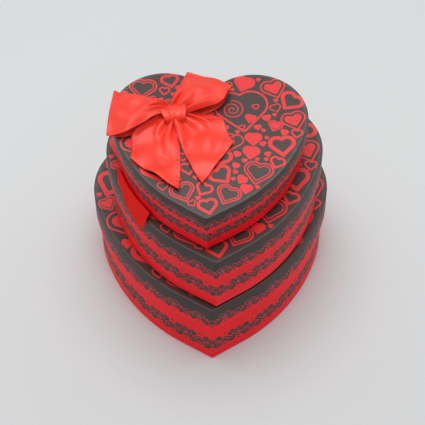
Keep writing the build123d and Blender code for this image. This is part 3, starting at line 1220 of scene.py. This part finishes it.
@dataclass(frozen=True)
class SatinRibbon(Finish):
    """Polyester satin, warp-faced: long floats give a broad soft shine that streaks across the ribbon.

    The floats are about 0.15 mm wide and would not show, so they are drawn 0.5 mm apart.

    Attributes:
        colour: Colour of the ribbon.
        deep: Colour in its clouds and along its selvedges.
        float_mm: Distance between the floats as drawn.
        selvedge_mm: Width of a selvedge.
        half_mm: Where the ribbon's edge is taken to be, from its middle.
        gloss: Strength of the mirror shine.
        sheen: Strength of the soft shine at a glancing look.
        cloud_mm: Size of the clouds.
        crush_mm: Size of the crushed spots.
    """

    colour: str = "#f23f2c"
    deep: str = "#d61814"
    float_mm: float = 0.5
    selvedge_mm: float = 1.3
    half_mm: float = 24.0
    gloss: float = 0.5
    sheen: float = 0.35
    cloud_mm: float = 14.0
    crush_mm: float = 7.0

    def build(self) -> bpy.types.Material:
        """Makes the ribbon's material.

        Returns:
            The material.
        """
        material, tree, shader = self.start()
        flat = add_node(tree, "ShaderNodeUVMap", {"uv_map": "ribbon"})
        parts = add_node(tree, "ShaderNodeSeparateXYZ", None, {0: flat.outputs["UV"]})
        floats = add_node(tree, "ShaderNodeTexWave", {"wave_type": "BANDS", "bands_direction": "Y"}, {
            "Vector": flat.outputs["UV"], "Scale": 1.0 / (self.float_mm * WAVE_TURN) * 2 * math.pi,
            "Distortion": 0.6, "Detail": 2.0})
        cloud = self.grain(tree, self.cloud_mm, 2.0)
        share = self.ranged(tree, cloud.outputs["Fac"], 0.15, 0.0, 0.4)
        colour = self.mix(tree, share, linear(self.colour), linear(self.deep))
        edge = add_node(tree, "ShaderNodeMath", {"operation": "ABSOLUTE"}, {0: parts.outputs["Y"]})
        inside = self.below(tree, edge.outputs[0], self.half_mm - self.selvedge_mm, 0.25)
        colour = self.mix(tree, inside, linear(self.deep), colour)
        tree.links.new(colour, shader.inputs["Base Color"])
        shader.inputs["Roughness"].default_value = 0.40
        shader.inputs["IOR"].default_value = 1.5
        shader.inputs["Anisotropic"].default_value = 0.55
        shader.inputs["Specular IOR Level"].default_value = self.gloss
        shader.inputs["Sheen Weight"].default_value = self.sheen
        shader.inputs["Sheen Roughness"].default_value = 0.35
        shader.inputs["Sheen Tint"].default_value = linear("#ff8a78")
        lie = add_node(tree, "ShaderNodeTangent", {"direction_type": "UV_MAP", "uv_map": "ribbon"})
        tree.links.new(lie.outputs["Tangent"], shader.inputs["Tangent"])
        # A crushed spot is eight times as deep as a float.
        crush = self.grain(tree, self.crush_mm, 2.0)
        rise = add_node(tree, "ShaderNodeMath", {"operation": "MULTIPLY_ADD"}, {
            0: crush.outputs["Fac"], 1: 8.0, 2: floats.outputs["Fac"]})
        self.bump(tree, shader, rise.outputs[0], 0.34, 0.10)
        return material


@dataclass(frozen=True)
class HotGlue(Finish):
    """Hot-melt glue: a milky, slightly glossy dab.

    Attributes:
        colour: Colour of the glue.
        cloudy: Colour of its clouds.
        cloud_mm: Size of the clouds.
    """

    colour: str = "#e4d9b8"
    cloudy: str = "#cfc39c"
    cloud_mm: float = 2.5

    def build(self) -> bpy.types.Material:
        """Makes the glue's material.

        Returns:
            The material.
        """
        material, tree, shader = self.start()
        cloud = self.grain(tree, self.cloud_mm)
        colour = self.mix(tree, cloud.outputs["Fac"], linear(self.colour), linear(self.cloudy))
        tree.links.new(colour, shader.inputs["Base Color"])
        shader.inputs["Roughness"].default_value = 0.3
        shader.inputs["Subsurface Weight"].default_value = 0.3
        return material


@dataclass(frozen=True)
class StudioFloor(Finish):
    """Matt paper sweep of a photo table, a little greyer towards the viewer where less light falls.

    Attributes:
        colour: Colour of the paper.
        front: Colour towards the viewer.
        change: Where the colours meet, in metres along Y.
        soft: Half the width of that change.
    """

    colour: str = "#d7dadb"
    front: str = "#cfd2d3"
    change: float = -0.10
    soft: float = 0.30

    def build(self) -> bpy.types.Material:
        """Makes the floor's material.

        Returns:
            The material.
        """
        material, tree, shader = self.start()
        places = add_node(tree, "ShaderNodeTexCoord")
        parts = add_node(tree, "ShaderNodeSeparateXYZ", None, {0: places.outputs["Object"]})
        nearer = self.below(tree, parts.outputs["Y"], self.change, self.soft)
        colour = self.mix(tree, nearer, linear(self.colour), linear(self.front))
        tree.links.new(colour, shader.inputs["Base Color"])
        shader.inputs["Roughness"].default_value = 0.9
        shader.inputs["Specular IOR Level"].default_value = 0.1
        return material


@dataclass
class Finishes:
    """Every finish of the set, made once.

    Attributes:
        lid: Paper with hearts on the lids.
        side: Paper with lace on the sides.
        bottom: Paper under the trays.
        lining: Paper inside.
        board: Greyboard.
        satin: Ribbon of the upper bow.
        pressed_satin: Ribbon of the bows under a box. It is a deeper red copy of the satin that is painted
            shade from the box above.
        glue: Glue under the bows.
    """

    lid: bpy.types.Material
    side: bpy.types.Material
    bottom: bpy.types.Material
    lining: bpy.types.Material
    board: bpy.types.Material
    satin: bpy.types.Material
    pressed_satin: bpy.types.Material
    glue: bpy.types.Material

    @classmethod
    def made(cls) -> Finishes:
        """Makes the set's materials.

        A ribbon that lay under a box is pressed flat and has lost its sheen. Its deeper red is painted shade,
        standing for the shadow of the box above.

        Returns:
            The finishes.
        """
        return cls(
            lid=PrintedPaper("coated_paper_heart_print", "#35231f", "#de1b20", gloss=0.9).build(),
            side=PrintedPaper("coated_paper_lace_print", "#fa0e1f", "#413736", "#c23e4a", "dark").build(),
            bottom=PlainSheet("red_bottom_paper", "#b8232d", "#a31d28").build(),
            lining=PlainSheet("white_lining_paper", "#ece7de", "#ded7cb").build(),
            board=PlainSheet("greyboard", "#8f877c", "#6f685f", 0.8, 0.4, 0.92).build(),
            satin=SatinRibbon("red_satin_ribbon").build(),
            # The pressed ribbon's deeper red is painted shade from the box above.
            pressed_satin=SatinRibbon(
                "red_satin_ribbon_pressed_painted_shade", "#dc1a15", "#c8110f", gloss=0.15, sheen=0.0).build(),
            glue=HotGlue("hot_melt_glue").build())


@dataclass
class HeartBox:
    """One box of the set: its papers, its bow and its place on the frame.

    Attributes:
        size: Which box of the set it is.
        turn: Turn of the box in degrees.
        band_low: Height of the tray's lace from the ground of the box.
        band_high: Height of that lace's upper edge.
        skirt_band_low: Drop of the skirt's lace from the top of the lid, at its lower edge.
        skirt_band_high: Drop of that lace's upper edge.
        bow: Place and plans of the bow.
        layers: Depths of the papers.
        lid_steps: Steps along the outline of the lid sheet, over the lid's width.
        lid_rows: Rows of the lid sheet from its spine to its edge.
        ring_steps: Steps along the outline of the papers round the box, over the lid's width.
        lace_row: Distance of the rows through a lace band.
        rub_and_highlight_half: Half the width of a paler fold, partly rubbed and partly a painted highlight.
    """

    size: BoxSize
    turn: float
    band_low: float
    band_high: float
    skirt_band_low: float
    skirt_band_high: float
    bow: BowShape
    layers: PaperLayers = field(default_factory=PaperLayers)
    lid_steps: int = 205
    lid_rows: int = 105
    ring_steps: int = 300
    lace_row: float = 0.5
    rub_and_highlight_half: float = 0.8

    def __post_init__(self) -> None:
        """Reads the box's place from the frame's nodes."""
        name = self.size.value
        low, high = (np.array(corner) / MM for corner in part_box(f"{name}_skirt_wrap"))
        turned = math.radians(self.turn)
        self.width = self.fitted_width(high[0] - low[0])
        self.outline = HeartOutline(self.width)
        points = self.outline.loop(1.0)[0]
        self.spin = np.array([[math.cos(turned), -math.sin(turned)], [math.sin(turned), math.cos(turned)]])
        spun = points @ self.spin.T
        self.middle = (low[:2] + high[:2] - spun.min(axis=0) - spun.max(axis=0)) / 2
        self.top = high[2]
        self.skirt_foot = low[2]
        self.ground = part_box(f"{name}_bottom_sheet")[0][2] / MM
        self.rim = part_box(f"{name}_tray_wrap")[1][2] / MM
        self.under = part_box(f"{name}_tray_wrap")[0][2] / MM

    def fitted_width(self, spread: float) -> float:
        """Width of a heart whose turned outline has the given spread along X.

        Args:
            spread: The turned heart's width.

        Returns:
            The width of the heart itself.
        """
        turned, trial_width = math.radians(self.turn), 100.0
        points = HeartOutline(trial_width, tip_round=3.0).loop(0.5)[0]
        across = points @ np.array([math.cos(turned), -math.sin(turned)])
        return spread * trial_width / (across.max() - across.min())

    def placed(self, points: Grid) -> Grid:
        """Moves points of the box, whose heights are in the frame already, to where it stands.

        Args:
            points: Points of the box.

        Returns:
            Points in the frame.
        """
        world = points.copy()
        world[..., :2] = points[..., :2] @ self.spin.T + self.middle
        return world

    def lid_sheet(self, pattern: LidPrint, hearts: list[PrintedHeart]) -> bpy.types.Object:
        """The printed sheet over the lid, rolled over its edge.

        Across the lid, each point of the outline is joined to a spine down the middle, so one grid
        covers both halves: x is the share times the outline's x, y goes from the spine to the
        outline. Past the edge the rows follow a quarter roll and the turned-down border.

        Args:
            pattern: The lid's print.
            hearts: The hearts of the print.

        Returns:
            The sheet.
        """
        layers = self.layers
        outline, normals, run = self.outline.half(self.width / self.lid_steps)
        roll = np.linspace(0.0, math.pi / 2, 6)
        depth = np.concatenate([layers.turn_down + layers.fold * (1 - np.sin(roll)), [layers.turn_down]])
        drop = np.concatenate([layers.fold * (1 - np.cos(roll)), [layers.top_turn_down]])
        rings = set_in(outline, normals, depth)
        drops = np.broadcast_to(-drop[:, None, None], (*rings.shape[:2], 1))
        edge = np.concatenate([rings, drops], axis=2)
        share = np.linspace(0.0, 1.0, self.lid_rows, endpoint=False)[:, None]
        spine = rings[0, :1, 1] + (rings[0, -1:, 1] - rings[0, :1, 1]) * (run / run[-1])
        flat = np.stack([share * rings[0, :, 0], spine + share * (rings[0, :, 1] - spine),
                         np.zeros((share.size, run.size))], axis=-1)
        right = np.concatenate([flat, edge])
        left = right[:0:-1] * np.array([-1.0, 1.0, 1.0])
        local = np.concatenate([left, right])
        local[..., 2] += self.top
        scale = self.width / pattern.width
        ink = pattern.ink(local[..., 0], local[..., 1], scale, hearts)
        # The rolled edge is paler, partly rubbed and partly a painted highlight.
        spine_to_edge, rub_and_highlight_drop = 60.0, 0.3
        border = np.concatenate([np.linspace(spine_to_edge, 0.0, share.size), -drop])
        far = np.abs(np.concatenate([border[:0:-1], border]))[:, None]
        wear_and_highlight = np.broadcast_to(np.exp(-((far - rub_and_highlight_drop) / self.rub_and_highlight_half) ** 2), ink.shape)
        name = f"{self.size.value}_lid_sheet_print"
        return SurfacePiece(name, self.placed(local), values={"ink": ink, "wear_and_highlight": wear_and_highlight}, flip=True).build()

    def ring(self, name: str, profile: Grid, band: tuple[float, float], above_dark: bool,
             edges: tuple[float, ...]) -> bpy.types.Object:
        """A printed paper carried round the outline on a closed profile of depths and heights.

        Args:
            name: Name of the piece.
            profile: Closed loop of depth in from the lid's outside and height in the frame.
            band: Heights of the lace band.
            above_dark: The print is dark over the middle of the lace.
            edges: Heights of the paler folds, partly rubbed by handling and partly a painted highlight.

        Returns:
            The paper.
        """
        outline, normals, run = self.outline.loop(self.width / self.ring_steps)
        flat = set_in(outline, normals, profile[:, 0])
        heights = np.broadcast_to(profile[:, 1, None, None], (*flat.shape[:2], 1))
        local = np.concatenate([flat, heights], axis=2)
        middle, tall = (band[0] + band[1]) / 2, band[1] - band[0]
        lace = LaceBand(tall, LACE_REPEAT * tall)
        along = np.broadcast_to(run, flat.shape[:2])
        dark, line = lace.draw(along, local[..., 2] - middle, 2 * run.max())
        if above_dark:
            dark = np.minimum(dark, middle + DARK_FROM * tall - local[..., 2])
        # The folds are paler, partly rubbed and partly a painted highlight.
        near = np.min(np.abs(local[..., 2][..., None] - np.array(edges)), axis=-1)
        values = {"dark": dark, "line": line, "wear_and_highlight": np.exp(-(near / self.rub_and_highlight_half) ** 2)}
        points = self.placed(local)
        return SurfacePiece(name, points, closed_rows=True, closed_columns=True, values=values).build()

    def tray_wrap(self) -> bpy.types.Object:
        """The tray's paper: under the floor, up the wall, over the rim and down inside.

        Returns:
            The paper.
        """
        layers = self.layers
        out, inner, fold, paper = layers.tray, layers.rim_lining, layers.fold, layers.paper
        low, high = self.ground + self.band_low, self.ground + self.band_high
        corner = np.linspace(0.0, math.pi / 2, 5)
        walls = np.concatenate([
            np.linspace(self.under + fold, low - 2.5, 4)[1:],
            np.arange(low - 1.8, high + 2.0, self.lace_row),
            np.linspace(high + 2.6, self.rim - fold, 8)[:-1]])
        profile = np.concatenate([
            [(out + layers.under_turn_in, self.under)],
            np.stack([out + fold * (1 - np.sin(corner)), self.under + fold * (1 - np.cos(corner))], axis=1),
            np.stack([np.full_like(walls, out), walls], axis=1),
            np.stack([out + fold * (1 - np.cos(corner)), self.rim - fold * (1 - np.sin(corner))], axis=1),
            np.stack([inner - fold * (1 - np.sin(corner)), self.rim - fold * (1 - np.cos(corner))], axis=1),
            [(inner, self.rim - layers.rim_turn_in), (inner - paper, self.rim - layers.rim_turn_in),
             (inner - paper, self.rim - paper), (out + paper, self.rim - paper),
             (out + paper, self.under + paper), (out + layers.under_turn_in, self.under + paper)]])
        name = f"{self.size.value}_tray_wrap_print"
        return self.ring(name, profile, (low, high), False, (self.rim, self.under))

    def skirt_wrap(self) -> bpy.types.Object:
        """The lid skirt's paper: up inside, round the lower edge and up to the lid's edge.

        Returns:
            The paper.
        """
        layers = self.layers
        inner, fold, paper = layers.skirt_lining, layers.fold, layers.paper
        low, high = self.top - self.skirt_band_low, self.top - self.skirt_band_high
        corner = np.linspace(0.0, math.pi / 2, 5)
        foot = self.skirt_foot
        walls = np.concatenate([
            np.arange(foot + fold, high + 1.5, self.lace_row), np.linspace(high + 2.1, self.top - 1.0, 5)])
        inside = foot + layers.skirt_turn_in
        profile = np.concatenate([
            [(inner, inside)],
            np.stack([inner - fold * (1 - np.cos(corner)), foot + fold * (1 - np.sin(corner))], axis=1),
            np.stack([fold * (1 - np.sin(corner)), foot + fold * (1 - np.cos(corner))], axis=1)[:-1],
            np.stack([np.zeros_like(walls), walls], axis=1),
            [(0.04, self.top - 0.6), (paper, self.top - 0.45), (paper, foot + paper),
             (inner - paper, foot + paper), (inner - paper, inside)]])
        return self.ring(f"{self.size.value}_skirt_wrap_print", profile, (low, high), True, (foot, self.top))

    def build_papers(self, pattern: LidPrint, hearts: list[PrintedHeart], finishes: Finishes) -> None:
        """Makes and dresses the printed papers and puts them on their bodies.

        Args:
            pattern: The lids' print.
            hearts: The hearts of the print.
            finishes: The set's finishes.
        """
        name = self.size.value
        papers = ((self.lid_sheet(pattern, hearts), "lid_sheet", "lid", finishes.lid, "lid_print"),
                  (self.skirt_wrap(), "skirt_wrap", "lid", finishes.side, "lid_print"),
                  (self.tray_wrap(), "tray_wrap", "tray", finishes.side, "tray_print"))
        for piece, node, body, material, slot in papers:
            piece.data.materials.append(material)
            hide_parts(f"{name}_{node}")
            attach(piece, f"{name}_{body}")
            LOG.info("%s: %d points", piece.name, len(piece.data.vertices))

    def beyond(self, points: Grid, depth: float) -> Grid:
        """How far points of the frame lie outside this box, seen from above.

        Args:
            points: Points in the frame, in millimetres.
            depth: How far in from the lid's outside to measure from.

        Returns:
            Distances, negative within the box.
        """
        coarse_step = 3.0
        outline, normals, _ = self.outline.loop(coarse_step)
        edge = (outline - depth * normals) @ self.spin.T + self.middle
        outward = normals @ self.spin.T
        flat = points[..., :2].reshape(-1, 2)
        gap = flat[:, None, :] - edge[None]
        near = np.argmin((gap ** 2).sum(axis=-1), axis=1)
        rows = np.arange(len(flat))
        return (gap[rows, near] * outward[near]).sum(axis=-1).reshape(points.shape[:-1])

    def let_go(self, laid: Grid, lengths: Grid, above: HeartBox) -> Grid:
        """Heights that a pressed ribbon gains where it comes out from under the box above.

        It swells at the wall, lies down in soft waves and hangs over the edge of its own lid.

        Args:
            laid: Points of the ribbon in the frame.
            lengths: Their lengths along and across the ribbon.
            above: The box that presses the ribbon.

        Returns:
            Heights to add, in millimetres.
        """
        out = above.beyond(laid, above.layers.tray)
        along, across = lengths[..., 0], lengths[..., 1]
        swell = self.bow.puff * ease(0.0, 1.6, out) * (1 - 0.85 * ease(1.0, 10.0, out))
        wave = 1.3 + 0.8 * np.sin(along / 4.2 + across / 6.0) + 0.5 * np.sin(across / 3.4 - along / 7.0)
        lid_edge, bend = 0.6, 1.2
        hang = np.maximum(self.beyond(laid, lid_edge), 0.0)
        return swell + wave * ease(1.5, 8.0, out) - hang ** 2 / (hang + bend)

    def build_bow(self, finishes: Finishes, above: HeartBox | None) -> None:
        """Args:
            finishes: The set's finishes.
            above: The box that stands on this one.
        """
        name, shape = self.size.value, self.bow
        bow = Bow(shape)
        left, right = shape.left_tail, shape.right_tail
        # Bows under a box take the deeper red satin, which is painted shade from the box above.
        satin = finishes.satin if above is None else finishes.pressed_satin
        # The phases differ, so that no two pieces are gathered alike.
        pieces = (
            ("bow_left_loop", bow.loop(shape.left_loop, 0.15), 2 * shape.left_loop.length, "folded"),
            ("bow_right_loop", bow.loop(shape.right_loop, 0.60), 2 * shape.right_loop.length, "folded"),
            ("bow_left_tail", bow.tail(left, 0.35), (left.inner_length + left.outer_length) / 2, "laid"),
            ("bow_right_tail", bow.tail(right, 0.80), (right.inner_length + right.outer_length) / 2, "laid"),
            ("bow_knot", bow.knot(), 0.0, "folded"))
        for node, (points, lengths), length, held in pieces:
            is_knot = node == "bow_knot"
            laid = self.placed(points + np.array([0.0, 0.0, self.top]))
            if above is not None and "tail" in node:
                laid[..., 2] += self.let_go(laid, lengths, above)
            piece = SurfacePiece(f"{name}_{node}_satin", laid, closed_rows=is_knot, lengths=lengths).build()
            wall = piece.modifiers.new("ribbon", "SOLIDIFY")
            wall.thickness = bow.thickness * MM
            wall.offset = 0.0
            piece.data.materials.append(satin)
            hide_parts(f"{name}_{node}")
            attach(piece, f"{name}_lid")
            LOG.info("%s: ribbon of %.0f mm", piece.name, length)

    def dress_nodes(self, nodes: dict[str, bpy.types.Object], finishes: Finishes) -> None:
        """Gives the frame's own nodes of this box their finishes.

        Args:
            nodes: The frame's objects by the names of their nodes.
            finishes: The set's finishes.
        """
        dress = {"bottom_sheet": finishes.bottom, "bow_glue_dot": finishes.glue}
        dress |= dict.fromkeys(("floor_board", "wall_board", "lid_board", "skirt_board"), finishes.board)
        dress |= dict.fromkeys(("wall_lining", "floor_lining", "lid_lining"), finishes.lining)
        for node, material in dress.items():
            slots = nodes[f"{self.size.value}_{node}"].data.materials
            slots.clear()
            slots.append(material)


@dataclass(frozen=True)
class Studio:
    """The photograph's camera, a pale floor and soft light from above.

    Attributes:
        elevation: Height of the camera over the horizon in degrees.
        azimuth: Turn of the camera round the stack in degrees.
        distance: From the camera to its target in millimetres.
        focal_px: Focal length in the photograph's pixels.
        target: Where the camera looks, in millimetres.
        roll: Turn of the camera about its line of sight in degrees.
        world_level: Brightness of the even light.
        key_watts: Power of the lamp.
        lamp_place: Place of the lamp in metres.
        lamp_aim: Where the lamp points, in metres.
        lamp_size: Diameter of the lamp in metres.
        floor_half: Half the floor's width in millimetres.
        floor_flat: Where the floor starts to rise, from its middle.
        floor_rise: Rise over the square of the distance from there.
    """

    elevation: float = 56.6
    azimuth: float = 0.26
    distance: float = 1520.0
    focal_px: float = 1633.0
    target: tuple[float, float, float] = (1.5, 4.6, 100.0)
    roll: float = -0.41
    world_level: float = 0.58
    key_watts: float = 14.5
    lamp_place: tuple[float, float, float] = (-0.04, 0.0, 1.64)
    lamp_aim: tuple[float, float, float] = (0.0, 0.0, 0.15)
    lamp_size: float = 1.0
    floor_half: float = 2400.0
    floor_flat: float = 1500.0
    floor_rise: float = 0.0002

    def camera(self) -> None:
        """Makes the camera that looks along +Y and down at the stack."""
        data = bpy.data.cameras.new("camera")
        data.sensor_width = SENSOR_MM
        data.lens = self.focal_px / PHOTO_SIDE_PX * SENSOR_MM
        data.clip_end = 20.0
        camera = bpy.data.objects.new("camera", data)
        tilt = math.radians(self.elevation)
        swing = Euler((0.0, 0.0, -math.radians(self.azimuth))).to_matrix()
        back = swing @ Vector((0.0, -math.cos(tilt), math.sin(tilt))) * self.distance
        camera.location = (Vector(self.target) + back) * MM
        level = Euler((math.pi / 2 - tilt, 0.0, 0.0)).to_matrix()
        rolled = Euler((0.0, 0.0, math.radians(self.roll))).to_matrix()
        camera.rotation_euler = (swing @ level @ rolled).to_euler()
        bpy.context.collection.objects.link(camera)
        bpy.context.scene.camera = camera

    def floor(self) -> None:
        """Makes a wide floor, a grid with a shallow rise far from the stack."""
        side = np.linspace(-self.floor_half, self.floor_half, 41)
        x, y = np.meshgrid(side, side, indexing="xy")
        far = np.maximum(np.hypot(x, y) - self.floor_flat, 0.0)
        piece = SurfacePiece("floor", np.stack([x, y, self.floor_rise * far ** 2], axis=-1)).build()
        piece.data.materials.append(StudioFloor("paper_sweep").build())

    def light(self) -> None:
        """Lights the stack with an even white world and one large soft lamp above it."""
        world = bpy.data.worlds.new("studio")
        world.use_nodes = True
        background = world.node_tree.nodes["Background"]
        background.inputs["Color"].default_value = (1.0, 1.0, 1.0, 1.0)
        background.inputs["Strength"].default_value = self.world_level
        bpy.context.scene.world = world
        data = bpy.data.lights.new("softbox", "AREA")
        data.shape = "DISK"
        data.size = self.lamp_size
        data.energy = self.key_watts
        lamp = bpy.data.objects.new("softbox", data)
        lamp.location = self.lamp_place
        lamp.rotation_euler = (Vector(self.lamp_aim) - lamp.location).to_track_quat("-Z", "Y").to_euler()
        bpy.context.collection.objects.link(lamp)

    def build(self) -> None:
        """Sets the stage and the plain view transform."""
        self.camera()
        self.floor()
        self.light()
        bpy.context.scene.view_settings.view_transform = "Standard"


FULL_BOW = BowShape(
    knot_x=-31.0, knot_y=-2.5, knot_turn=12.0, rise=14.5, knot_rise=13.5,
    left_loop=LoopPlan(angle=175.0, length=55.3, left=28.4, right=-18.6, arch=3.5, lift=2.0, late=True),
    right_loop=LoopPlan(angle=71.0, length=45.8, left=4.2, right=-37.4, arch=4.0, lift=4.0),
    left_tail=TailPlan(
        angle=257.0, inner_length=74.0, inner_half=24.6, outer_length=53.5, outer_half=23.8, bulge=29.8,
        outer_left=False, inner_bow=2.6),
    right_tail=TailPlan(
        angle=306.7, inner_length=72.0, inner_half=20.8, outer_length=52.6, outer_half=26.2, bulge=32.4,
        outer_left=True, inner_bow=2.9),
    waves=3.0, most_gather=2.6, ripple=2.4)
MEDIUM_BOW = BowShape(
    knot_x=-34.0, knot_y=-3.0, knot_turn=12.0, rise=2.6, knot_rise=3.2,
    left_loop=LoopPlan(angle=176.0, length=45.0, left=25.0, right=-19.0, arch=0.0, lift=0.0),
    right_loop=LoopPlan(angle=58.0, length=40.0, left=6.0, right=-34.0, arch=0.0, lift=0.0),
    left_tail=TailPlan(
        angle=232.0, inner_length=82.0, inner_half=26.4, outer_length=52.4, outer_half=25.6, bulge=28.5,
        outer_left=False, cut_bow=4.5, inner_bow=5.0),
    right_tail=TailPlan(
        angle=306.0, inner_length=70.0, inner_half=20.0, outer_length=53.0, outer_half=25.0, bulge=30.0,
        outer_left=True),
    waves=12.0, most_gather=0.45, ripple=0.14, puff=7.0)
LARGE_BOW = BowShape(
    knot_x=-33.0, knot_y=-3.0, knot_turn=12.0, rise=2.6, knot_rise=3.2,
    left_loop=LoopPlan(angle=175.0, length=47.0, left=25.0, right=-19.0, arch=0.0, lift=0.0),
    right_loop=LoopPlan(angle=60.0, length=42.0, left=6.0, right=-34.0, arch=0.0, lift=0.0),
    left_tail=TailPlan(
        angle=256.0, inner_length=73.0, inner_half=24.0, outer_length=52.0, outer_half=24.0, bulge=27.0,
        outer_left=False),
    right_tail=TailPlan(
        angle=306.0, inner_length=72.0, inner_half=20.0, outer_length=54.0, outer_half=25.0, bulge=30.0,
        outer_left=True),
    waves=12.0, most_gather=0.45, ripple=0.14, puff=8.0)


def main() -> None:
    """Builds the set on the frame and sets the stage."""
    logging.basicConfig(level=logging.INFO, format="%(name)s %(message)s")
    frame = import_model()
    finishes = Finishes.made()
    pattern = LidPrint()
    hearts = pattern.hearts()
    LOG.info("lid print: %d hearts", len(hearts))
    boxes = (
        HeartBox(BoxSize.LARGE, turn=0.0, band_low=13.9, band_high=36.5, skirt_band_low=30.3,
                 skirt_band_high=10.4, bow=LARGE_BOW),
        HeartBox(BoxSize.MEDIUM, turn=0.0, band_low=15.5, band_high=34.0, skirt_band_low=27.0,
                 skirt_band_high=9.0, bow=MEDIUM_BOW),
        HeartBox(BoxSize.SMALL, turn=-1.9, band_low=10.2, band_high=23.2, skirt_band_low=19.2,
                 skirt_band_high=5.5, bow=FULL_BOW))
    for box, above in zip(boxes, (*boxes[1:], None)):
        box.build_papers(pattern, hearts, finishes)
        box.build_bow(finishes, above)
        box.dress_nodes(frame["nodes"], finishes)
    Studio().build()


if __name__ == "__main__":
    main()
